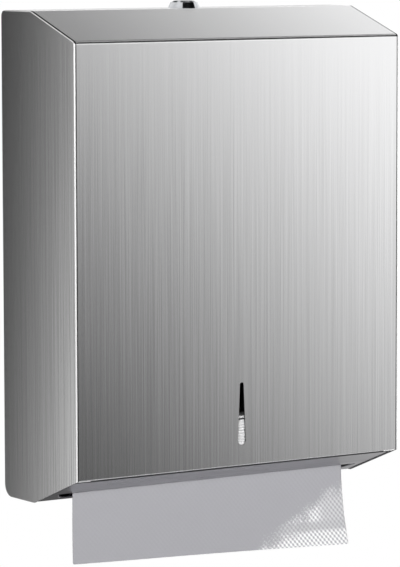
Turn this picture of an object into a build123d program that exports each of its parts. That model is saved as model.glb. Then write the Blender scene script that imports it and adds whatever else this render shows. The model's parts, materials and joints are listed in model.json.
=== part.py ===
from build123d import *
import os
from math import atan2, cos, hypot, sin, tan

# Wall-hung folded-towel dispenser. Millimetres, +Z up, wall plane y = 0, front towards -Y,
# origin at the centre of the four wall holes.

# Folded towels, which the cabinet is built round
TOWEL_WIDTH = 232.0
TOWEL_FOLD = 82.0
TOWEL_THICK = 2.4
TOWEL_COUNT = 13
TOWEL_STAGGER = 0.8
SIDE_ROOM = 21.5
FRONT_ROOM = 12.0
REAR_ROOM = 6.0

# Cabinet outline seen from the side
HEIGHT = 345.0
TOP_FLAT = 42.5
TOP_RISE = 20.0
BOTTOM_FLAT = 42.5
BOTTOM_DROP = 22.0

# Cover
COVER_SHEET = 0.9
COVER_BEND = 3.0
NOSE_ROUND = 1.0
CHEEK_FLANGE = 12.0
SEAM = 0.5
TOP_CORNER = 4.5
LOW_CORNER = 9.0
WALL_GAP = 2.0
BACK_LIP = 1.0
SHEET_SETBACK = 1.6
HEM_ROUND = 0.85
WINDOW_TOP = 59.5
WINDOW_BOTTOM = 15.0
WINDOW_TOP_WIDTH = 3.2
WINDOW_BOTTOM_WIDTH = 6.6

# Fixed body
BODY_SHEET = 1.0
BODY_BEND = 2.5
SIDE_GAP = 0.4
FLANGE_DEPTH = 16.0
PLATE_DROP = 11.5
PLATE_RAISE = 12.5
HOLE_SPACING_X = 152.0
HOLE_SPACING_Z = 200.0
HOLE_DIAMETER = 6.5
RIB_WIDTH = 14.0
RIB_LENGTH = 160.0
RIB_RISE = 2.0
RIB_SPACING = 90.0

# Bottom pan and its slot
PAN_INSET = 0.5
PAN_RIM = 12.5
PAN_EDGE = 1.6
SLOT_BEND_GAP = 5.7
SLOT_WIDTH = 13.9
SLOT_END_GAP = 7.0
SLOT_TAPER = 8.0
SLOT_TIP = 0.8
SLOT_CORNER = 6.0
LIP_WALL = 1.0
LIP_HEIGHT = 3.0
LIP_ROLL = 0.8

# Hinge along the lower front edge
PIN_RADIUS = 1.2
PIN_CLEARANCE = 0.05
LEAF_SHEET = 0.9
LEAF_HEIGHT = 10.5
LEAF_OFFSET = 0.3
HINGE_END_GAP = 2.0
HINGE_RISE = 1.6
KNUCKLES = 7
KNUCKLE_GAP = 0.4

# Hanging towel, rests and guides
SHEET_THICK = 0.4
SHEET_GAP = 0.3
SHEET_LEFT = 49.5
SHEET_RIGHT = 55.8
SHEET_LEAN_LEFT = 3.0
SHEET_LEAN_RIGHT = 10.0
REST_HEIGHT = 2.5
REST_DEPTH = 15.0
REST_RIM_GAP = 1.0
GUIDE_GAP = 3.0
GUIDE_FRONT_GAP = 32.0
GUIDE_HEIGHT = 190.0
GUIDE_RIM_GAP = 4.0
GUIDE_FOOT = 11.0
GUIDE_FLARE = 5.0
GUIDE_CORNER = 8.0

# Cam lock
LOCK_BACK = 16.0
HEAD_BASE = 23.0
HEAD_TOP = 18.5
HEAD_HEIGHT = 5.2
HEAD_CHAMFER = 1.2
BARREL = 18.8
BARREL_FLATS = 16.0
BARREL_LENGTH = 20.0
BARREL_CLEARANCE = 0.2
PLUG = 12.2
PLUG_SUNK = 0.5
KEYWAY_WIDTH = 2.0
KEYWAY_LENGTH = 8.4
KEYWAY_DEPTH = 12.0
TAIL_SQUARE = 7.0
CAM_SHEET = 2.0
CAM_REACH = 22.0
CAM_WIDTH = 13.0
CAM_GAP = 0.3
NUT_ACROSS = 23.0
NUT_THICK = 4.0
WASHER_OUTER = 25.0
WASHER_THICK = 1.0
SCREW_SHANK = 4.6
SCREW_HEAD = 9.0
SCREW_HEAD_THICK = 2.8
SCREW_DEPTH = 7.0
SCREW_END_GAP = 1.0

# Keeper
KEEPER_SHEET = 1.5
KEEPER_START = 12.5
KEEPER_WIDTH = 18.0
KEEPER_DROP = 17.5
KEEPER_LIFT = 15.0
KEEPER_GAP = 1.0
KEEPER_WALL_GAP = 2.5
KEEPER_EDGE_GAP = 1.0

width = TOWEL_WIDTH + 2 * SIDE_ROOM
depth = TOWEL_FOLD + FRONT_ROOM + REAR_ROOM
z_top = HEIGHT / 2
z_bottom = -HEIGHT / 2
z_front_top = z_top - TOP_RISE
z_front_bottom = z_bottom + BOTTOM_DROP
top_slope = atan2(TOP_RISE, depth - TOP_FLAT)
bottom_slope = atan2(BOTTOM_DROP, depth - BOTTOM_FLAT)
half_width = width / 2
body_half = half_width - COVER_SHEET - SIDE_GAP
pan_half = body_half - BODY_SHEET
slope_length = hypot(depth - BOTTOM_FLAT, BOTTOM_DROP)
slot_start = slope_length - SLOT_BEND_GAP - SLOT_WIDTH
slot_front = pan_half - SLOT_END_GAP
slot_rear = slot_front - SLOT_TAPER
hinge_length = width - 2 * CHEEK_FLANGE - 2 * HINGE_END_GAP
guide_depth = depth - GUIDE_FRONT_GAP

knuckle_radius = PIN_RADIUS + PIN_CLEARANCE + LEAF_SHEET
y_hinge = -depth + COVER_SHEET + LEAF_OFFSET + knuckle_radius
z_hinge = z_front_bottom + HINGE_RISE
pan_front = y_hinge + knuckle_radius + LEAF_OFFSET
z_rim = z_front_bottom + PAN_RIM
z_rest = z_front_bottom + REST_HEIGHT
z_plate_top = z_top - PLATE_DROP
z_plate_bottom = z_bottom + PLATE_RAISE
y_lock = -TOP_FLAT + LOCK_BACK


def side_extrude(face, x_from, x_to):
    """Extrude a face drawn in (y, z) between two x positions."""
    return extrude(Plane.YZ.offset(x_from) * face, amount=x_to - x_from)


def rounded(points, radii):
    """Closed outline with a radius for each corner."""
    return make_face(FilletPolyline(*points, radius=radii, close=True))


def block(x_from, x_to, y_from, y_to, z_from, z_to):
    """Box between six limits."""
    size = Box(x_to - x_from, y_to - y_from, z_to - z_from)
    return Pos((x_from + x_to) / 2, (y_from + y_to) / 2, (z_from + z_to) / 2) * size


def shoulder(inset):
    """The two upper bends of the side outline, moved in by the inset."""
    rear = (-TOP_FLAT + inset * tan(top_slope / 2), z_top - inset)
    turn = (atan2(1, 0) - top_slope) / 2
    front = (-depth + inset, z_front_top - inset * tan(turn))
    return rear, front


def upper_face(inset, y_rear, z_low, rear_radius):
    """Side outline bounded by flat top, shoulder and front, running down to z_low."""
    rear, front = shoulder(inset)
    points = [(y_rear, z_top - inset), rear, front, (-depth + inset, z_low), (y_rear, z_low)]
    bend = COVER_BEND - inset
    return rounded(points, [rear_radius, bend, bend, 0, 0])


def cylinder_x(radius, x_from, x_to, y, z):
    return side_extrude(Pos(y, z) * Circle(radius), x_from, x_to)


def strip(points, radii, thickness, side):
    """Section of a bent strip: the line of one face, thickened to the named side."""
    return make_face(offset(FilletPolyline(*points, radius=radii), amount=thickness, side=side))


def slope_plane(inset):
    """Plane on the apron: local x along X, local y down the slope, normal into the cabinet."""
    normal = Vector(0, sin(bottom_slope), cos(bottom_slope))
    start = Vector(0, -depth, z_front_bottom) + normal * inset
    return Plane(origin=start, x_dir=(1, 0, 0), z_dir=normal)


def slope_height(y, inset):
    """Height of the apron's line at y, moved into the cabinet by the inset."""
    return z_front_bottom - (y + depth) * tan(bottom_slope) + inset / cos(bottom_slope)


def save(name, shape):
    shape.label = name
    export_step(shape, os.path.join("parts", name + ".step"))


os.makedirs("parts", exist_ok=True)

# Cover sheet: front, shoulder and flat top, rolled down at the back
outer_face = upper_face(0, -WALL_GAP, z_front_bottom, TOP_CORNER)
inner_face = upper_face(COVER_SHEET, -WALL_GAP - COVER_SHEET, z_bottom, TOP_CORNER - COVER_SHEET)
sheet_half = half_width - SHEET_SETBACK
cover_front = side_extrude(outer_face, -sheet_half, sheet_half)
cover_front -= side_extrude(inner_face, -half_width, half_width)
cover_front -= block(-half_width, half_width, -TOP_FLAT, 0, z_bottom, z_top - TOP_CORNER - BACK_LIP)
low_edges = cover_front.edges().filter_by(Axis.X).group_by(Axis.Z)[0]
cover_front = fillet(low_edges.sort_by(Axis.Y)[0], HEM_ROUND)

front_plane = Plane(origin=(0, -depth, z_front_bottom), x_dir=(1, 0, 0), z_dir=(0, -1, 0))
high_radius = WINDOW_TOP_WIDTH / 2
low_radius = WINDOW_BOTTOM_WIDTH / 2
high_circle = Pos(0, WINDOW_TOP - high_radius) * Circle(high_radius)
low_circle = Pos(0, WINDOW_BOTTOM + low_radius) * Circle(low_radius)
window = make_hull(high_circle.edges() + low_circle.edges())
cover_front -= extrude(front_plane * window, amount=2 * COVER_SHEET, both=True)

flats = BARREL_FLATS + 2 * BARREL_CLEARANCE
lock_hole = Circle(BARREL / 2 + BARREL_CLEARANCE) & Rectangle(flats, WASHER_OUTER)
cover_front -= extrude(Pos(0, y_lock, z_top) * lock_hole, amount=2 * COVER_SHEET, both=True)
save("cover_front", cover_front)

# Cheeks: rounded nose beside the sheet, flanges turned in behind it, free edges at the back and below
flange_start = half_width - CHEEK_FLANGE


def cheek_form(inset, x_from, x_to, bend):
    """Block with the flanged edges rounded, reaching past the free edges."""
    form = side_extrude(upper_face(inset, width, -HEIGHT, 0), x_from, x_to)
    edges = form.faces().sort_by(Axis.X)[-1].edges()
    kept = edges.filter_by(lambda e: e.center().Z > -HEIGHT and e.center().Y < width)
    return fillet(kept, bend)


cheek = cheek_form(0, flange_start, half_width, NOSE_ROUND)
cheek -= cheek_form(2 * COVER_SHEET, flange_start - CHEEK_FLANGE, half_width - COVER_SHEET, COVER_SHEET)
seat = block(0, sheet_half + SEAM, -width, width, -HEIGHT, HEIGHT)
cheek -= seat - side_extrude(inner_face, -width, width)
cheek_outline = rounded(
    [
        (-WALL_GAP, z_top),
        (-depth, z_top),
        (-depth, z_front_bottom),
        (-BOTTOM_FLAT, z_bottom),
        (-WALL_GAP, z_bottom),
    ],
    [TOP_CORNER, 0, 0, COVER_BEND, LOW_CORNER],
)
cheek = cheek & side_extrude(cheek_outline, 0, width)
save("cheek_right", cheek)
save("cheek_left", mirror(cheek, about=Plane.YZ))

# Back plate: side and top flanges, ribs, wall holes


def plate_form(inset, y_front, z_low):
    """Block behind the flanges with its bends rounded."""
    half = body_half - inset
    form = block(-half, half, y_front, -inset, z_low, z_plate_top - inset)
    bends = form.edges().filter_by(Axis.Z).group_by(Axis.Y)[-1]
    bends += form.edges().filter_by(Axis.Y).group_by(Axis.Z)[-1]
    bends += form.edges().filter_by(Axis.X).group_by(Axis.Z)[-1].group_by(Axis.Y)[-1]
    return fillet(bends, BODY_BEND - inset)


back_plate = plate_form(0, -FLANGE_DEPTH, z_plate_bottom)
back_plate -= plate_form(BODY_SHEET, -2 * FLANGE_DEPTH, z_plate_bottom - FLANGE_DEPTH)
wall_plane = Plane(origin=(0, 0, 0), x_dir=(1, 0, 0), z_dir=(0, -1, 0))
for side in (-1, 1):
    place = Pos(side * RIB_SPACING / 2, 0) * Rot(0, 0, 90)
    ridge = extrude(wall_plane * (place * SlotOverall(RIB_LENGTH, RIB_WIDTH)), BODY_SHEET + RIB_RISE)
    ridge = chamfer(ridge.faces().sort_by(Axis.Y)[0].edges(), RIB_RISE / 2)
    back_plate += ridge
    thin = 2 * BODY_SHEET
    hollow = place * SlotOverall(RIB_LENGTH - thin, RIB_WIDTH - thin)
    back_plate -= extrude(wall_plane * hollow, RIB_RISE)
for x in (-HOLE_SPACING_X / 2, HOLE_SPACING_X / 2):
    for z in (-HOLE_SPACING_Z / 2, HOLE_SPACING_Z / 2):
        hole = wall_plane * (Pos(x, z) * Circle(HOLE_DIAMETER / 2))
        back_plate -= extrude(hole, amount=2 * BODY_SHEET, both=True)

# Bottom pan: drawn tray with the slot in its apron, lipped along its front edge


def pan_form(inset, z_high):
    """Block inside the pan's outline, moved in by the inset, with drawn edges."""
    half = pan_half - inset
    lift = PAN_INSET + inset
    y_front = pan_front + inset
    corner = (-BOTTOM_FLAT + lift * tan(bottom_slope / 2), z_bottom + lift)
    points = [
        (-BODY_SHEET - inset, z_high),
        (-BODY_SHEET - inset, z_bottom + lift),
        corner,
        (y_front, slope_height(y_front, lift)),
        (y_front, z_high),
    ]
    bend = BODY_BEND - inset
    outline = rounded(points, [0, LOW_CORNER - PAN_INSET - inset, COVER_BEND, bend, 0])
    form = side_extrude(outline, -half, half)
    ends = form.faces().filter_by(Axis.X)
    rims = ends.edges().filter_by(lambda e: e.center().Z < z_high - 1e-3)
    return fillet(rims, PAN_EDGE - inset)


bottom_pan = pan_form(0, z_rim) - pan_form(BODY_SHEET, z_rim + PAN_RIM)
apron = slope_plane(PAN_INSET)
slot = rounded(
    [
        (-slot_front, slot_start),
        (slot_front, slot_start),
        (slot_rear, slot_start + SLOT_WIDTH),
        (-slot_rear, slot_start + SLOT_WIDTH),
    ],
    [SLOT_TIP, SLOT_TIP, SLOT_CORNER, SLOT_CORNER],
)
lip_length = 2 * (slot_front - SLOT_TAPER)
lip = Pos(0, slot_start - LIP_WALL / 2, BODY_SHEET / 2) * Rectangle(lip_length, LIP_WALL)
bottom_pan += extrude(apron * lip, amount=LIP_HEIGHT - BODY_SHEET / 2)
bottom_pan -= extrude(apron * slot, amount=2 * LIP_HEIGHT, both=True)
slot_edges = bottom_pan.edges().filter_by(
    lambda e: abs(apron.to_local_coords(e.center()).Z) < 1e-4
    and abs(e.center().X) < slot_front
    and abs(apron.to_local_coords(e.center()).Y - slot_start - SLOT_WIDTH / 2) < SLOT_WIDTH / 2 + 1e-3
)
bottom_pan = fillet(slot_edges, LIP_ROLL)

# Keeper under the top flange, with a turned-up tip that the cam passes behind
z_flange = z_plate_top - BODY_SHEET
y_tip = y_lock - CAM_WIDTH / 2 - KEEPER_GAP
y_web = -BODY_SHEET - KEEPER_WALL_GAP
z_arm = z_flange - KEEPER_DROP
keeper_line = [
    (-FLANGE_DEPTH + KEEPER_EDGE_GAP, z_flange),
    (y_web, z_flange),
    (y_web, z_arm),
    (y_tip - KEEPER_SHEET, z_arm),
    (y_tip - KEEPER_SHEET, z_arm + KEEPER_LIFT),
]
keeper_bend = 2 * KEEPER_SHEET
keeper_face = strip(keeper_line, [keeper_bend] * 3, KEEPER_SHEET, Side.RIGHT)
lock_keeper = side_extrude(keeper_face, KEEPER_START, KEEPER_START + KEEPER_WIDTH)
save("back_plate", back_plate)
save("bottom_pan", bottom_pan)
save("lock_keeper", lock_keeper)

# Rests for the stack
y_rest = pan_front + BODY_SHEET
z_shelf = z_rest - BODY_SHEET
rest_half = hinge_length / 2 - CHEEK_FLANGE / 2
front_line = [(y_rest, z_hinge + LEAF_HEIGHT), (y_rest, z_shelf), (y_rest + REST_DEPTH, z_shelf)]
rest_front = strip(front_line, [BODY_BEND], BODY_SHEET, Side.LEFT)
save("towel_rest_front", side_extrude(rest_front, -rest_half, rest_half))

y_rest_rear = -2 * BODY_SHEET
rear_line = [(y_rest_rear, z_rim - REST_RIM_GAP), (y_rest_rear, z_shelf), (y_rest_rear - REST_DEPTH, z_shelf)]
rest_rear = strip(rear_line, [BODY_BEND], BODY_SHEET, Side.RIGHT)
save("towel_rest_rear", side_extrude(rest_rear, -rest_half, rest_half))

# Guides beside the stack, flared at the front
guide_x = TOWEL_WIDTH / 2 + GUIDE_GAP
guide_line = [
    (guide_x + GUIDE_FOOT, -BODY_SHEET),
    (guide_x, -BODY_SHEET),
    (guide_x, -guide_depth),
    (guide_x + GUIDE_FLARE, -guide_depth - 2 * GUIDE_FLARE),
]
guide_face = strip(guide_line, [BODY_BEND, BODY_BEND], BODY_SHEET, Side.LEFT)
z_guide = z_rim + GUIDE_RIM_GAP
guide = extrude(Pos(0, 0, z_guide) * guide_face, amount=GUIDE_HEIGHT)
guide_tips = guide.edges().filter_by(lambda e: abs(e.length - BODY_SHEET) < 1e-3).group_by(Axis.Y)[0]
guide = fillet(guide_tips, GUIDE_CORNER)
save("guide_right", guide)
save("guide_left", mirror(guide, about=Plane.YZ))

# Hinge: leaves with alternating knuckles on one pin
pitch = hinge_length / KNUCKLES
bore_radius = PIN_RADIUS + PIN_CLEARANCE


def hinge_leaf(y_from, y_to, first):
    """Leaf plate with knuckles at every second place, cut away at the others."""
    leaf = block(-hinge_length / 2, hinge_length / 2, y_from, y_to, z_hinge, z_hinge + LEAF_HEIGHT)
    notch_high = z_hinge + knuckle_radius + 2 * LEAF_OFFSET
    for i in range(KNUCKLES):
        x_from = -hinge_length / 2 + i * pitch
        x_to = x_from + pitch
        if i % 2 == first:
            leaf += cylinder_x(knuckle_radius, x_from, x_to, y_hinge, z_hinge)
        else:
            leaf -= block(x_from - KNUCKLE_GAP, x_to + KNUCKLE_GAP, y_from, y_to, z_hinge, notch_high)
    for i in range(1, KNUCKLES):
        joint = -hinge_length / 2 + i * pitch
        ends = (joint - KNUCKLE_GAP / 2, joint + KNUCKLE_GAP / 2)
        leaf -= cylinder_x(2 * knuckle_radius, *ends, y_hinge, z_hinge)
    return leaf - cylinder_x(bore_radius, -half_width, half_width, y_hinge, z_hinge)


y_inside = -depth + COVER_SHEET
save("hinge_leaf_moving", hinge_leaf(y_inside, y_inside + LEAF_SHEET, 1))
save("hinge_leaf_fixed", hinge_leaf(pan_front - LEAF_SHEET, pan_front, 0))
save("hinge_pin", cylinder_x(PIN_RADIUS, -hinge_length / 2, hinge_length / 2, y_hinge, z_hinge))

# Cam lock
lock_seat = Pos(0, y_lock, z_top)
head = Pos(0, 0, HEAD_HEIGHT / 2) * Cone(HEAD_BASE / 2, HEAD_TOP / 2, HEAD_HEIGHT)
head = chamfer(head.edges().sort_by(Axis.Z)[-1], HEAD_CHAMFER)
barrel = Circle(BARREL / 2) & Rectangle(BARREL_FLATS, WASHER_OUTER)
lock_body = head + extrude(barrel, amount=-BARREL_LENGTH)
lock_body -= Cylinder(PLUG / 2 + PIN_CLEARANCE, 4 * BARREL_LENGTH)
save("lock_body", lock_seat * lock_body)

washer = Circle(WASHER_OUTER / 2) - lock_hole
washer = extrude(Pos(0, 0, -COVER_SHEET) * washer, amount=-WASHER_THICK)
save("lock_washer", lock_seat * washer)
z_nut = -COVER_SHEET - WASHER_THICK
nut_face = RegularPolygon(NUT_ACROSS / 2, 6, major_radius=False) - Circle(BARREL / 2 + BARREL_CLEARANCE / 2)
nut = extrude(Pos(0, 0, z_nut) * nut_face, amount=-NUT_THICK)
save("lock_nut", lock_seat * nut)

plug_top = HEAD_HEIGHT - PLUG_SUNK
plug = extrude(Pos(0, 0, -BARREL_LENGTH) * Circle(PLUG / 2), amount=BARREL_LENGTH + plug_top)
tail = Rectangle(TAIL_SQUARE, TAIL_SQUARE)
plug += extrude(Pos(0, 0, -BARREL_LENGTH) * tail, amount=-CAM_GAP - CAM_SHEET)
keyway = Rectangle(KEYWAY_WIDTH, KEYWAY_LENGTH)
plug -= extrude(Pos(0, 0, plug_top) * keyway, amount=-KEYWAY_DEPTH)
z_cam_low = -BARREL_LENGTH - CAM_GAP - CAM_SHEET
screw_bore = Circle(SCREW_SHANK / 2 + PIN_CLEARANCE)
plug -= extrude(Pos(0, 0, z_cam_low) * screw_bore, amount=SCREW_DEPTH + SCREW_END_GAP)
save("lock_plug", lock_seat * plug)

cam_arm = CAM_REACH - CAM_WIDTH / 2
cam_face = Pos(0, cam_arm / 2) * Rot(0, 0, 90) * SlotCenterToCenter(cam_arm, CAM_WIDTH)
cam_hole = TAIL_SQUARE + 2 * PIN_CLEARANCE
cam_face -= Rectangle(cam_hole, cam_hole)
cam = extrude(Pos(0, 0, z_cam_low) * cam_face, amount=CAM_SHEET)
save("lock_cam", lock_seat * cam)

screw = extrude(Pos(0, 0, z_cam_low) * Circle(SCREW_SHANK / 2), amount=SCREW_DEPTH)
screw += extrude(Pos(0, 0, z_cam_low) * Circle(SCREW_HEAD / 2), amount=-SCREW_HEAD_THICK)
screw = chamfer(screw.edges().sort_by(Axis.Z)[0], SCREW_HEAD_THICK / 3)
drive = SCREW_SHANK / 4
cross = Rectangle(drive, SCREW_SHANK) + Rectangle(SCREW_SHANK, drive)
screw -= extrude(Pos(0, 0, z_cam_low - SCREW_HEAD_THICK) * cross, amount=SCREW_HEAD_THICK / 2)
save("cam_screw", lock_seat * screw)

# Folded towels, each with rounded folds front and back, and the sheet that hangs from the slot
stack_y = -depth + FRONT_ROOM + TOWEL_FOLD / 2
towels = []
for i in range(TOWEL_COUNT):
    shift = TOWEL_STAGGER * (i % 2)
    fold = Pos(stack_y + shift, z_rest + (i + 0.5) * TOWEL_THICK) * SlotOverall(TOWEL_FOLD, TOWEL_THICK)
    towels.append(side_extrude(fold, -TOWEL_WIDTH / 2, TOWEL_WIDTH / 2))
save("towel_stack", Compound(children=towels))

y_lip = -depth + slot_start * cos(bottom_slope) + (PAN_INSET + LIP_HEIGHT) * sin(bottom_slope)
y_sheet = y_lip + SHEET_GAP + SHEET_THICK / 2
z_bend = slope_height(y_sheet, 0) - LIP_HEIGHT / 2
half_towel = TOWEL_WIDTH / 2


def sheet_line(y_left, y_right, z_left, z_right):
    """Cross-section of the hanging sheet, from its left to its right edge."""
    half = SHEET_THICK / 2
    points = [
        (-half_towel, y_left - half, z_left),
        (half_towel, y_right - half, z_right),
        (half_towel, y_right + half, z_right),
        (-half_towel, y_left + half, z_left),
    ]
    return make_face(Polyline(*points, close=True))


bend_line = sheet_line(y_sheet, y_sheet, z_bend, z_bend)
hem_line = sheet_line(
    y_sheet - SHEET_LEAN_LEFT, y_sheet - SHEET_LEAN_RIGHT, z_bend - SHEET_LEFT, z_bend - SHEET_RIGHT
)
sheet = extrude(bend_line, amount=z_rest - SHEET_THICK - z_bend, dir=(0, 0, 1))
sheet += loft([bend_line, hem_line], ruled=True)
save("leading_towel", sheet)
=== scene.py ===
import json
import math

import bpy
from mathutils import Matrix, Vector, noise


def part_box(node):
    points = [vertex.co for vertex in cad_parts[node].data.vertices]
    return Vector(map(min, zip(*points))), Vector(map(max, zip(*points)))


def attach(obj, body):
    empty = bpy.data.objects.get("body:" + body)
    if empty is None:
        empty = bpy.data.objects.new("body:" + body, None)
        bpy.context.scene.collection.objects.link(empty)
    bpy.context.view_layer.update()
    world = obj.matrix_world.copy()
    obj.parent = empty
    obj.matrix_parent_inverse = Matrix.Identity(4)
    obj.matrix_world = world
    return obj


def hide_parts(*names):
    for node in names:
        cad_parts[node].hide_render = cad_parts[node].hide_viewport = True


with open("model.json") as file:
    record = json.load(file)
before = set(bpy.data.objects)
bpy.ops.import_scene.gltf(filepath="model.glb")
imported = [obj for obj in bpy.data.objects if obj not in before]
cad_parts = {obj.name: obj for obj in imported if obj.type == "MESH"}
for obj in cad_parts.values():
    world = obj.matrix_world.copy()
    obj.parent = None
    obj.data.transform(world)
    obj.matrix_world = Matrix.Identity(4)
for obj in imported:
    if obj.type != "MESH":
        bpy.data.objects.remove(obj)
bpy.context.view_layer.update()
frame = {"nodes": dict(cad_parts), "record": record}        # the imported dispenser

mm = 0.001
noiseMiddle = 0.5       # the value that a noise texture swings about


# Node writing
class Wire:
    # a shader socket that takes part in sums
    def __init__(self, bench, socket):
        self.bench = bench
        self.socket = socket

    def __add__(self, other):
        return self.bench.maths("ADD", self, other)

    def __radd__(self, other):
        return self.bench.maths("ADD", other, self)

    def __sub__(self, other):
        return self.bench.maths("SUBTRACT", self, other)

    def __rsub__(self, other):
        return self.bench.maths("SUBTRACT", other, self)

    def __mul__(self, other):
        return self.bench.maths("MULTIPLY", self, other)

    def __rmul__(self, other):
        return self.bench.maths("MULTIPLY", other, self)


class Bench:
    # adds nodes to one tree
    def __init__(self, tree):
        self.tree = tree
        tree.nodes.clear()

    def add(self, kind, settings, sockets, output=0):
        node = self.tree.nodes.new(kind)
        for name, value in settings.items():
            setattr(node, name, value)
        for name, value in sockets.items():
            if isinstance(value, Wire):
                self.tree.links.new(value.socket, node.inputs[name])
            else:
                node.inputs[name].default_value = value
        if not node.outputs:
            return node
        return Wire(self, node.outputs[output])

    def maths(self, operation, *values):
        return self.add("ShaderNodeMath", {"operation": operation}, dict(enumerate(values)))

    def axis(self, number, output="Object"):
        coords = self.add("ShaderNodeTexCoord", {}, {}, output)
        return self.add("ShaderNodeSeparateXYZ", {}, {0: coords}, number)

    def grain(self, scale, detail):
        coords = self.add("ShaderNodeTexCoord", {}, {}, "Object")
        place = self.add("ShaderNodeMapping", {}, {"Vector": coords, "Scale": scale})
        return self.add("ShaderNodeTexNoise", {}, {"Vector": place, "Scale": 1.0, "Detail": detail})

    def span(self, value, low, high, start, end):
        sockets = {"Value": value, 1: low, 2: high, 3: start, 4: end}
        return self.add("ShaderNodeMapRange", {"interpolation_type": "SMOOTHSTEP"}, sockets)

    def rise(self, value, low, high):
        return self.span(value, low, high, 0.0, 1.0)

    def fall(self, value, low, high):
        return self.span(value, low, high, 1.0, 0.0)

    def blend(self, factor, first, second):
        return self.add("ShaderNodeMix", {"data_type": "RGBA"}, {0: factor, 6: first, 7: second}, 2)

    def bump(self, height, strength, distance):
        sockets = {"Height": height, "Strength": strength, "Distance": distance}
        return self.add("ShaderNodeBump", {}, sockets)

    def finish(self, shader, kind="ShaderNodeOutputMaterial"):
        self.add(kind, {}, {"Surface": shader})


def newMaterial(name):
    material = bpy.data.materials.new(name)
    material.use_nodes = True
    return material, Bench(material.node_tree)


def shade(colour, level=1.0):
    return tuple(level * part for part in colour) + (1.0,)


# Painted shade and highlights on the steel
# a line of painted shade along the gap beside the front sheet
seam = {
    "start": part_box("cover_front")[1].x - 0.15 * mm,        # just inside the cut edge
    "width": 0.65 * mm,
    "widen": 0.7 * mm,          # more of it shows above the front
    "top": 152.0 * mm,          # height where the front bends back
    "bend": 1.0 * mm,           # height over which it widens
    "blur": 0.12 * mm,
}


def fromMiddle(bench):
    return bench.maths("ABSOLUTE", bench.axis(0))


def seamShadeMask(bench):
    # painted shade in the narrow gap between the front sheet and the cheek
    across = fromMiddle(bench)
    end = seam["start"] + seam["width"]
    widen = bench.span(bench.axis(2), seam["top"] - seam["bend"], seam["top"], 0.0, seam["widen"])
    inside = bench.rise(across, seam["start"] - seam["blur"], seam["start"])
    return inside * bench.fall(across - widen, end, end + seam["blur"])


# a painted highlight on the rounded front edge of each cheek
nose = {
    "outside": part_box("cheek_right")[1].x,
    "front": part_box("cheek_right")[0].y,
    "depth": 0.15 * mm,         # how far in from the flat side it turns bright
    "reach": 2.0 * mm,          # how far back the bright edge goes
    "blur": 0.12 * mm,
    "scatter": 0.35,            # share of its light that the painted highlight scatters
}


def noseHighlightMask(bench):
    # a painted highlight along the rounded front edge of a cheek
    start = nose["outside"] - nose["depth"]
    rear = nose["front"] + nose["reach"]
    lower = bench.fall(bench.axis(2), seam["top"] - seam["bend"], seam["top"])
    forward = bench.fall(bench.axis(1), rear, rear + nose["blur"])
    return lower * forward * bench.fall(fromMiddle(bench), start, start + nose["blur"])


hingeLine = {
    "start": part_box("bottom_pan")[0].y,
    "width": 1.8 * mm,
    "blur": 0.6 * mm,
}


def hingeMask(bench):
    # the shaded joint under the hem of the front sheet
    end = hingeLine["start"] + hingeLine["width"]
    return bench.fall(bench.axis(1), end, end + hingeLine["blur"])


slot = {
    "box": next(space["box_m"] for space in frame["record"]["physics"]["openings"]
                if space["name"] == "dispensing_slot"),
    "lip": 4.0 * mm,            # reach of the turned lips beyond the opening
    "blur": 0.5 * mm,
    "upturn": 0.2,              # how far a face looks up when it is fully in shade
}


def slotMask(bench):
    # the lips inside the towel slot, in shade
    normal = bench.add("ShaderNodeNewGeometry", {}, {}, "Normal")
    upward = bench.add("ShaderNodeSeparateXYZ", {}, {0: normal}, 2)
    front = slot["box"][0][1] - slot["lip"]
    rear = slot["box"][1][1] + slot["lip"]
    within = bench.rise(bench.axis(1), front, front + slot["blur"])
    within = within * bench.fall(bench.axis(1), rear - slot["blur"], rear)
    return within * bench.rise(upward, 0.0, slot["upturn"])


# Brushed steel
brush = {
    "fineShare": 0.88,
    "broadShare": 0.12,
    "spread": (0.3, 0.7),       # part of the noise that the marks use
    "roughSwing": 0.03,
    "depth": 0.2 * mm,
}
steels = {
    "front_steel": {
        "colour": (0.72, 0.72, 0.725), "grain": (2300, 7, 7), "broad": 0.25, "contrast": 0.185,
        "rough": 0.22, "relief": 0.03, "seamColour": (0.03, 0.03, 0.03),
        "fadeUp": (-0.02, 0.15, 1.0, 0.16), "fadeAcross": (-0.14, 0.1, 1.0, 0.4),
    },
    "cheek_steel": {
        "colour": (0.72, 0.72, 0.72), "grain": (8, 900, 6), "broad": 0.35, "contrast": 0.19,
        "rough": 0.22, "relief": 0.03, "seamColour": (0.03, 0.03, 0.03), "noseColour": (1.0, 1.0, 1.0),
    },
    "body_steel": {
        "colour": (0.42, 0.42, 0.43), "grain": (420, 14, 14), "broad": 0.2, "contrast": 0.06,
        "rough": 0.34, "relief": 0.04,
    },
    "pan_steel": {
        "colour": (0.365, 0.36, 0.38), "grain": (14, 300, 300), "broad": 0.2, "contrast": 0.04,
        "rough": 0.3, "relief": 0.03, "hingeColour": (0.04, 0.04, 0.042), "lipColour": (0.03, 0.03, 0.03),
    },
    "inner_steel": {
        "colour": (0.64, 0.64, 0.65), "grain": (14, 380, 380), "broad": 0.2, "contrast": 0.06,
        "rough": 0.36, "relief": 0.04,
    },
    "hinge_steel": {
        "colour": (0.7, 0.7, 0.71), "grain": (14, 600, 600), "broad": 0.2, "contrast": 0.06,
        "rough": 0.28, "relief": 0.03,
    },
}


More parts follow.
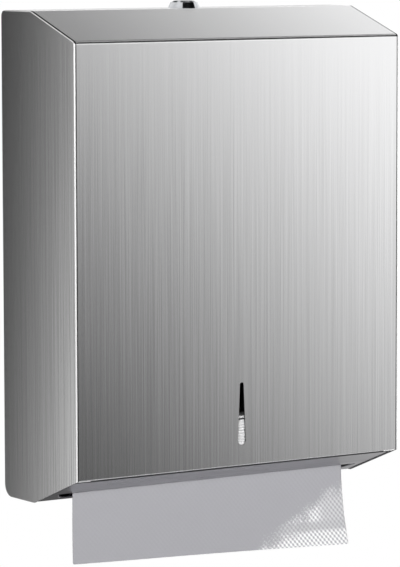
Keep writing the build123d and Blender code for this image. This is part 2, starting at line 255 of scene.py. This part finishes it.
def brushedSteel(name, finish):
    material, bench = newMaterial(name)
    fine = bench.grain(finish["grain"], detail=2.0)
    broad = bench.grain(tuple(part * finish["broad"] for part in finish["grain"]), detail=1.0)
    streak = fine * brush["fineShare"] + broad * brush["broadShare"]
    if "fadeUp" in finish:
        # the brush marks soften towards the top and the right
        upward = bench.span(bench.axis(2), *finish["fadeUp"])
        sideways = bench.span(bench.axis(0), *finish["fadeAcross"])
        streak = (streak - noiseMiddle) * upward * sideways + noiseMiddle
    tone = bench.rise(streak, *brush["spread"])
    dark = shade(finish["colour"], 1 - finish["contrast"])
    pale = shade(finish["colour"], 1 + finish["contrast"])
    colour = bench.blend(tone, dark, pale)
    metal = 1.0
    # the cheek's front edge gets a painted highlight, white and partly not metal
    if "noseColour" in finish:
        highlight = noseHighlightMask(bench)
        colour = bench.blend(highlight, colour, shade(finish["noseColour"]))
        metal = 1 - highlight * nose["scatter"]
    # painted shade in the seam, in the slot lips and in the hinge joint
    for mark, mask in (("seamColour", seamShadeMask), ("lipColour", slotMask), ("hingeColour", hingeMask)):
        if mark in finish:
            colour = bench.blend(mask(bench), colour, shade(finish[mark]))
    swing = brush["roughSwing"]
    rough = bench.span(streak, *brush["spread"], finish["rough"] + swing, finish["rough"] - swing)
    shader = bench.add("ShaderNodeBsdfPrincipled", {}, {
        "Base Color": colour, "Metallic": metal, "Roughness": rough,
        "Normal": bench.bump(streak, finish["relief"], brush["depth"]),
    })
    bench.finish(shader)
    return material


# Plated and polished pieces of the lock
plating = {
    "toneSpread": (0.35, 0.65),
    "tones": (0.9, 1.06),
    "roughSpread": (0.3, 0.7),
    "roughSwing": 0.3,
    "depth": 0.1 * mm,
}
plated = {
    "zinc_steel": {"colour": (0.62, 0.63, 0.65), "size": 420, "rough": 0.34, "relief": 0.1},
    "lock_chrome": {"colour": (0.6, 0.61, 0.63), "size": 160, "rough": 0.08, "relief": 0.02},
    "plug_chrome": {"colour": (0.5, 0.5, 0.52), "size": 240, "rough": 0.16, "relief": 0.03},
}


def platedMetal(name, finish):
    material, bench = newMaterial(name)
    cloud = bench.grain((finish["size"],) * 3, detail=3.0)
    tone = bench.rise(cloud, *plating["toneSpread"])
    dark, pale = (shade(finish["colour"], level) for level in plating["tones"])
    smooth = finish["rough"] * (1 - plating["roughSwing"])
    dull = finish["rough"] * (1 + plating["roughSwing"])
    shader = bench.add("ShaderNodeBsdfPrincipled", {}, {
        "Base Color": bench.blend(tone, dark, pale), "Metallic": 1.0,
        "Roughness": bench.span(cloud, *plating["roughSpread"], smooth, dull),
        "Normal": bench.bump(cloud, finish["relief"], plating["depth"]),
    })
    bench.finish(shader)
    return material


def paintNodes():
    finishes = {name: brushedSteel(name, finish) for name, finish in steels.items()}
    finishes.update({name: platedMetal(name, finish) for name, finish in plated.items()})
    for part in frame["record"]["subparts"]:
        slotName = part["material_slot"]
        if slotName in finishes:
            frame["nodes"][part["node"]].material_slots[0].material = finishes[slotName]
    print("steel and lock finishes on their pieces")


# Paper pieces
paper = {
    "gloss": 0.15,
    "relief": 0.2,
    "depth": 0.2 * mm,
}


def gridPiece(name, columns, rows):
    bpy.ops.object.select_all(action="DESELECT")
    bpy.ops.mesh.primitive_grid_add(x_subdivisions=columns, y_subdivisions=rows, size=2)      # from -1 to 1
    piece = bpy.context.object
    piece.name = name
    piece.data.name = name
    return piece


def applyModifier(piece, kind, **settings):
    modifier = piece.modifiers.new(kind.title(), kind)
    for name, value in settings.items():
        setattr(modifier, name, value)
    bpy.ops.object.modifier_apply(modifier=modifier.name)


def paperShader(bench, colour, height, rough):
    # soft matt paper with a little tooth
    return bench.add("ShaderNodeBsdfPrincipled", {}, {
        "Base Color": colour, "Roughness": rough, "Specular IOR Level": paper["gloss"],
        "Normal": bench.bump(height, paper["relief"], paper["depth"]),
    })


# Hanging towel
towel = {
    "stepAcross": 1.8 * mm,     # from a dot to the dimple beside it
    "stepDown": 2.05 * mm,
    "emboss": 0.1 * mm,
    "thick": 0.2 * mm,
    "straight": 19.3 * mm,      # length held upright in the slot
    "rise": 7.5 * mm,           # left corner above the right one
    "hemGap": 0.5 * mm,         # from the lowest corner to the end of its space
    "leanLeft": 3.0 * mm,
    "leanRight": 6.5 * mm,
    "leanPower": 1.4,           # it bends more towards the hem
    "curl": 3.0 * mm,           # lower right corner comes forward
    "curlWidth": 0.42,          # shares of the width and length that curl
    "curlHeight": 0.55,
    "wave": 0.5 * mm,
    "waves": 1.3,               # number of waves in the width
    "waveStart": 0.1,
    "flare": 2.0 * mm,          # lower left corner stands out
    # grey of the paper in shade, painted shade; the stack is the same paper, lit
    "colour": (0.34, 0.338, 0.358),
    "fibre": 900,
    "fibreTone": 0.03,
    "cloud": 60,
    "slant": 0.63,              # how far the dots stretch to one side
    "pit": (-0.75, 0.65),       # from the floor of a pit to the top of a dot
    "faintTone": 1.1,           # dots on the shaded paper
    "faintShare": 0.4,
    "dotColour": (0.88, 0.88, 0.88),
    "pitTone": 1.2,             # between the dots, where the light falls
    "litStart": 0.64,           # share of the width where the hem catches the light
    "litBlur": 0.09,
    "fibreEdge": 0.16,          # how ragged that edge is
    "cloudEdge": 0.18,
    "bandSlope": 0.8,           # how the edge of the lit hem leans
    "bandTop": (0.12, 0.2),     # shares of the length between which the lit hem ends
    "patchSlope": 0.55,         # how the edge of the lit patch above it leans
    "patchStart": (0.21, 0.27),             # shares of the length between which that begins
    "dipLight": 0.36,           # light left in the dip between them
    "dull": (0.88, 0.93, 1.0, 0.46),        # the patch dulls towards the side edge
    "dotRelief": 0.5,
    "fibreRelief": 0.5,
    "rough": 0.9,
}


def litCorner(bench, across, upward, fibre, cloud):
    # the lower right corner turns to the light: a band along the hem, a shallow dip and a patch
    ragged = (fibre - noiseMiddle) * towel["fibreEdge"] + (cloud - noiseMiddle) * towel["cloudEdge"]
    inside = across - towel["litStart"] + ragged
    band = bench.rise(inside - upward * towel["bandSlope"], 0.0, towel["litBlur"])
    band = band * bench.fall(upward, *towel["bandTop"])
    patch = bench.rise(inside - upward * towel["patchSlope"], 0.0, towel["litBlur"])
    above = bench.rise(upward, *towel["patchStart"])
    side = bench.span(across, *towel["dull"])
    patch = patch * (above * side + (1 - above) * towel["dipLight"])
    return bench.maths("MAXIMUM", patch, band)


def towelPaper(name, columnCount, rowCount):
    material, bench = newMaterial(name)
    across = bench.axis(0, "UV")
    upward = bench.axis(1, "UV")
    columns = across * (math.pi * columnCount)
    rows = upward * (math.pi * rowCount)
    along = bench.maths("COSINE", columns + rows)
    against = bench.maths("COSINE", columns - rows)
    dots = bench.rise(along * towel["slant"] + against * (1 - towel["slant"]), *towel["pit"])
    fibre = bench.grain((towel["fibre"],) * 3, detail=4.0)
    cloud = bench.grain((towel["cloud"],) * 3, detail=2.0)
    dark = shade(towel["colour"], 1 - towel["fibreTone"])
    pale = shade(towel["colour"], 1 + towel["fibreTone"])
    shaded = bench.blend(fibre, dark, pale)
    faint = dots * cloud * towel["faintShare"]
    shaded = bench.blend(faint, shaded, shade(towel["colour"], towel["faintTone"]))
    bright = bench.blend(dots, shade(towel["colour"], towel["pitTone"]), shade(towel["dotColour"]))
    colour = bench.blend(litCorner(bench, across, upward, fibre, cloud), shaded, bright)
    height = dots * towel["dotRelief"] + fibre * towel["fibreRelief"]
    bench.finish(paperShader(bench, colour, height, towel["rough"]))
    return material


def hangTowel():
    low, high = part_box("leading_towel")
    columns = 2 * round((high.x - low.x) / towel["stepAcross"] / 2)
    rows = 2 * round((high.z - low.z) / towel["stepDown"] / 2)
    piece = gridPiece("hanging_towel", columns, rows)
    middle = high.y - towel["thick"]
    zBend = high.z - towel["straight"]
    for point in piece.data.vertices:
        across = (point.co.x + 1) / 2
        down = (1 - point.co.y) / 2
        zHem = low.z + towel["rise"] * (1 - across) + towel["hemGap"]
        z = high.z + (zHem - high.z) * down
        below = max(0.0, (zBend - z) / (zBend - zHem))
        lean = towel["leanLeft"] + (towel["leanRight"] - towel["leanLeft"]) * across
        corner = (across - 1) / towel["curlWidth"] + (down - 1) / towel["curlHeight"] + 1
        curl = towel["curl"] * max(0.0, corner) ** 2
        turn = 2 * math.pi * (towel["waves"] * across + towel["waveStart"])
        wave = towel["wave"] * below * math.sin(turn)
        dot = 1 if (round(across * columns) + round(down * rows)) % 2 == 0 else -1
        y = middle - lean * below ** towel["leanPower"] - curl - wave - towel["emboss"] * dot
        x = low.x + (high.x - low.x) * across - towel["flare"] * below * (1 - across)
        point.co = (x, y, z)
    applyModifier(piece, "SUBSURF", levels=1, render_levels=1)
    applyModifier(piece, "SOLIDIFY", thickness=towel["thick"], offset=0)
    bpy.ops.object.shade_smooth()
    piece.data.materials.append(towelPaper("towel_paper", columns, rows))
    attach(piece, "towel")
    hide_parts("leading_towel")
    print("hanging towel:", len(piece.data.polygons), "faces")


# Folded stack
stack = {
    "layers": 28,
    "columns": 40,
    "foldSteps": 6,
    "runSteps": 6,
    "thick": 1.25 * mm,
    "wander": 0.5 * mm,         # how far the folds stray from a straight pile
    "ripple": (7, 1.7, 40),     # pace of that across, from layer to layer and to the back
    "shift": 0.6,               # share of it that moves a whole layer sideways
    "shiftSeed": (2.3, 5, 1),
    "sag": 0.15 * mm,
    "sagSeed": (9, 4, 2),
    "lift": 1.4 * mm,           # the top fold stands off the rest
    "slump": 0.32,              # share of the height lost towards the back
    "slumpEnd": 0.5,            # share of the depth where it is all lost
    "sharp": 50,                # degrees, edges above it stay crisp
    "colour": (0.96, 0.96, 0.965),
    "fibre": 700,
    "layerGrain": (4, 4, 1400),
    "spread": (0.3, 0.7),
    "darkTone": 0.97,
    "rough": 0.92,
}


def stackPaper(name):
    material, bench = newMaterial(name)
    fibre = bench.grain((stack["fibre"],) * 3, detail=4.0)
    tone = bench.rise(bench.grain(stack["layerGrain"], detail=1.0), *stack["spread"])
    dark = shade(stack["colour"], stack["darkTone"])
    colour = bench.blend(tone, dark, shade(stack["colour"]))
    bench.finish(paperShader(bench, colour, fibre, stack["rough"]))
    return material


def stackTowels():
    low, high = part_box("towel_stack")
    margin = stack["thick"] / 2
    pitch = (high.z - low.z - 2 * margin - stack["lift"]) / stack["layers"]
    perLayer = stack["runSteps"] + stack["foldSteps"]
    rows = stack["layers"] * perLayer
    piece = gridPiece("folded_towels", stack["columns"], rows)
    half = pitch / 2
    front = low.y + stack["wander"] + half
    rear = high.y - stack["wander"] - half
    paceAcross, paceUp, paceBack = stack["ripple"]
    shiftPace, shiftRow, shiftLine = stack["shiftSeed"]
    for point in piece.data.vertices:
        across = (point.co.x + 1) / 2
        row = round((point.co.y + 1) / 2 * rows)
        layer, step = divmod(row, perLayer)
        backward = layer % 2 == 0
        z = low.z + margin + pitch * layer + half
        ends = (front, rear) if backward else (rear, front)
        if step <= stack["runSteps"]:
            y = ends[0] + (ends[1] - ends[0]) * step / stack["runSteps"]
        else:
            turn = math.pi * (step - stack["runSteps"]) / stack["foldSteps"]
            y = ends[1] + (half if backward else -half) * math.sin(turn)
            z += half - half * math.cos(turn)
        x = low.x + stack["wander"] + (high.x - low.x - 2 * stack["wander"]) * across
        place = Vector((across * paceAcross, layer * paceUp, y * paceBack))
        y += stack["wander"] * noise.noise(place)
        z += stack["sag"] * noise.noise(place + Vector(stack["sagSeed"]))
        x += stack["shift"] * stack["wander"] * noise.noise(Vector((layer * shiftPace, shiftRow, shiftLine)))
        back = min(max((y - front) / (rear - front) / stack["slumpEnd"], 0.0), 1.0)
        slump = stack["slump"] * back * back * (3 - 2 * back)        # an even S from front to back
        z -= (z - low.z) * slump
        if row >= rows - perLayer:
            z += stack["lift"] * (1 - back)
        point.co = (x, y, min(max(z, low.z + margin), high.z - margin))
    applyModifier(piece, "SOLIDIFY", thickness=stack["thick"], offset=0)
    bpy.ops.object.shade_smooth_by_angle(angle=math.radians(stack["sharp"]))
    piece.data.materials.append(stackPaper("stack_paper"))
    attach(piece, "cabinet")
    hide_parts("towel_stack")
    print("folded stack:", len(piece.data.polygons), "faces")


# Studio
studio = {
    "ambient": 0.05,
    "floorHeight": -0.9,
    "floorSize": 8.0,
    "floorColour": (0.82, 0.82, 0.82),
}
lamps = {
    "fillLamp": {"place": (-1.2, -1.85, 0.42), "size": 0.3, "power": 44.0},
    "rightLamp": {"place": (0.75, -0.65, -0.15), "size": 0.4, "power": 3.8},
    "rearLamp": {"place": (0.6, 1.7, 0.5), "size": 0.6, "power": 24.0},
    "topLamp": {"place": (0.1, -0.45, 1.5), "size": 0.5, "power": 10.0},
}
cards = {
    # brightness is the square of level + slope . offset, kept between the two limits
    "frontCard": {
        "place": (0.448, -0.759, -0.073), "facing": (-0.56, 0.823, 0.093), "size": (1.1, 1.1),
        "level": 0.782, "slope": (1.25, 0.72, 1.14), "limits": (0.3, 1.165),
    },
    "sideCard": {
        "place": (-0.324, 0.301, -0.038), "facing": (0.51, -0.855, 0.095), "size": (0.34, 0.72),
        "level": 0.215, "slope": (-7.3, -4.42, -0.66), "limits": (0.12, 1.1),
    },
    "topCard": {
        "place": (0.445, 0.437, 0.591), "facing": (-0.55, -0.63, -0.55), "size": (1.0, 0.7),
        "level": 0.858, "slope": (1.35, 0.63, -2.29), "limits": (0.3, 1.14),
    },
    "ceilingCard": {
        "place": (0.5, 0.035, 0.9), "facing": (0, 0, -1), "size": (1.0, 0.6),
        "level": 0.76, "slope": (0.9, 0.0, 0.0), "limits": (0.4, 1.1),
    },
    "bendFlag": {
        "place": (0.56, -0.571, 0.789), "facing": (-0.3, 0.6, -0.8), "size": (0.7, 0.66),
        "level": 0.08, "slope": (0, 0, 0), "limits": (0.08, 0.08),
    },
    "lockFlag": {
        "place": (-0.04, -0.83, 0.95), "facing": (0.04, 0.81, -0.78), "size": (1.5, 0.4),
        "level": 0.12, "slope": (0, 0, 0), "limits": (0.12, 0.12),
    },
    "floorMat": {
        "place": (0.435, 0.49, -0.5), "facing": (0, 0, 1), "size": (2.2, 1.3),
        "level": 0.6, "slope": (1.75, -0.35, 0.0), "limits": (0.4, 0.92),
    },
    "leftFrontWall": {
        "place": (-0.99, -0.99, -0.2), "facing": (0.707, 0.707, 0), "size": (1.7, 1.4),
        "level": 0.82, "slope": (-0.42, 0.42, 0.65), "limits": (0.4, 1.2),
    },
    "leftRearWall": {
        "place": (-1.37, 0.29, -0.2), "facing": (0.978, -0.208, 0), "size": (1.2, 1.4),
        "level": 0.72, "slope": (-0.1, -0.5, 0.65), "limits": (0.4, 1.2),
    },
    "rightWall": {
        "place": (1.39, 0.12, -0.2), "facing": (-0.996, -0.087, 0), "size": (1.6, 1.4),
        "level": 0.6, "slope": (-0.03, 0.14, 0.5), "limits": (0.4, 0.85),
    },
    "backWall": {
        "place": (0, 1.5, -0.2), "facing": (0, -1, 0), "size": (2.8, 1.4),
        "level": 0.62, "slope": (0.1, 0.0, 0.5), "limits": (0.4, 0.85),
    },
}


def seenDirectly(bench):
    rays = [bench.add("ShaderNodeLightPath", {}, {}, name)
            for name in ("Is Camera Ray", "Is Glossy Ray", "Is Transmission Ray")]
    return bench.add("ShaderNodeClamp", {}, {"Value": rays[0] + rays[1] + rays[2]})


def setWorld():
    world = bpy.data.worlds.new("studio")
    world.use_nodes = True
    bpy.context.scene.world = world
    bench = Bench(world.node_tree)
    ambient = bench.add("ShaderNodeBackground", {}, {"Color": (1, 1, 1, 1), "Strength": studio["ambient"]})
    white = bench.add("ShaderNodeBackground", {}, {"Color": (1, 1, 1, 1), "Strength": 1.0})
    mixed = bench.add("ShaderNodeMixShader", {}, {0: seenDirectly(bench), 1: ambient, 2: white})
    bench.finish(mixed, "ShaderNodeOutputWorld")


def addPlane(name, place, size):
    bpy.ops.object.select_all(action="DESELECT")
    bpy.ops.mesh.primitive_plane_add(size=1, location=place)
    plane = bpy.context.object
    plane.name = name
    plane.scale = (size[0], size[1], 1)
    return plane


def layFloor():
    place = (0, 0, studio["floorHeight"])
    floor = addPlane("floor", place, (studio["floorSize"], studio["floorSize"]))
    material, bench = newMaterial("floor")
    matt = bench.add("ShaderNodeBsdfDiffuse", {}, {"Color": shade(studio["floorColour"])})
    white = bench.add("ShaderNodeEmission", {}, {"Strength": 1.0})
    pale = bench.add("ShaderNodeMixShader", {}, {0: seenDirectly(bench), 1: matt, 2: white})
    below = bench.add("ShaderNodeNewGeometry", {}, {}, "Backfacing")
    clear = bench.add("ShaderNodeBsdfTransparent", {}, {})
    bench.finish(bench.add("ShaderNodeMixShader", {}, {0: below, 1: pale, 2: clear}))
    floor.data.materials.append(material)


def hangCard(name, card):
    # a graded card that only the metal sees
    plane = addPlane(name, card["place"], card["size"])
    plane.rotation_euler = Vector(card["facing"]).to_track_quat("Z", "Y").to_euler()
    for rays in ("visible_camera", "visible_diffuse", "visible_transmission", "visible_shadow"):
        setattr(plane, rays, False)
    material, bench = newMaterial(name)
    spot = bench.add("ShaderNodeNewGeometry", {}, {}, "Position")
    sockets = {0: spot, 1: card["place"]}
    offset = bench.add("ShaderNodeVectorMath", {"operation": "SUBTRACT"}, sockets)
    sockets = {0: offset, 1: card["slope"]}
    along = bench.add("ShaderNodeVectorMath", {"operation": "DOT_PRODUCT"}, sockets, "Value")
    least, most = card["limits"]
    level = bench.add("ShaderNodeClamp", {}, {"Value": along + card["level"], "Min": least, "Max": most})
    bench.finish(bench.add("ShaderNodeEmission", {}, {"Strength": level * level}))
    plane.data.materials.append(material)


def hangLamp(name, settings):
    place = Vector(settings["place"])
    aim = (-place).to_track_quat("-Z", "Y").to_euler()
    bpy.ops.object.light_add(type="AREA", location=place, rotation=aim)
    lamp = bpy.context.object
    lamp.name = name
    lamp.data.size = settings["size"]
    lamp.data.energy = settings["power"]
    lamp.visible_glossy = False


def lightStudio():
    setWorld()
    layFloor()
    for name, card in cards.items():
        hangCard(name, card)
    for name, settings in lamps.items():
        hangLamp(name, settings)
    print("studio lit")


# Camera
view = {
    "place": (-1.384, -2.145, 0.229),
    "turn": 33.42,              # degrees to the right
    "tilt": -5.77,
    "roll": 0.14,
    "lens": 222.92,
    "sensor": 36.0,
}


def placeCamera():
    angles = (90 + view["tilt"], view["roll"], -view["turn"])        # 90 looks level
    aim = tuple(math.radians(angle) for angle in angles)
    bpy.ops.object.camera_add(location=view["place"], rotation=aim)
    camera = bpy.context.object
    camera.name = "photoCamera"
    camera.data.sensor_fit = "VERTICAL"
    camera.data.sensor_height = view["sensor"]
    camera.data.lens = view["lens"]
    bpy.context.scene.camera = camera
    bpy.context.scene.view_settings.view_transform = "Standard"
    print("camera placed")


placeCamera()
paintNodes()
hangTowel()
stackTowels()
lightStudio()
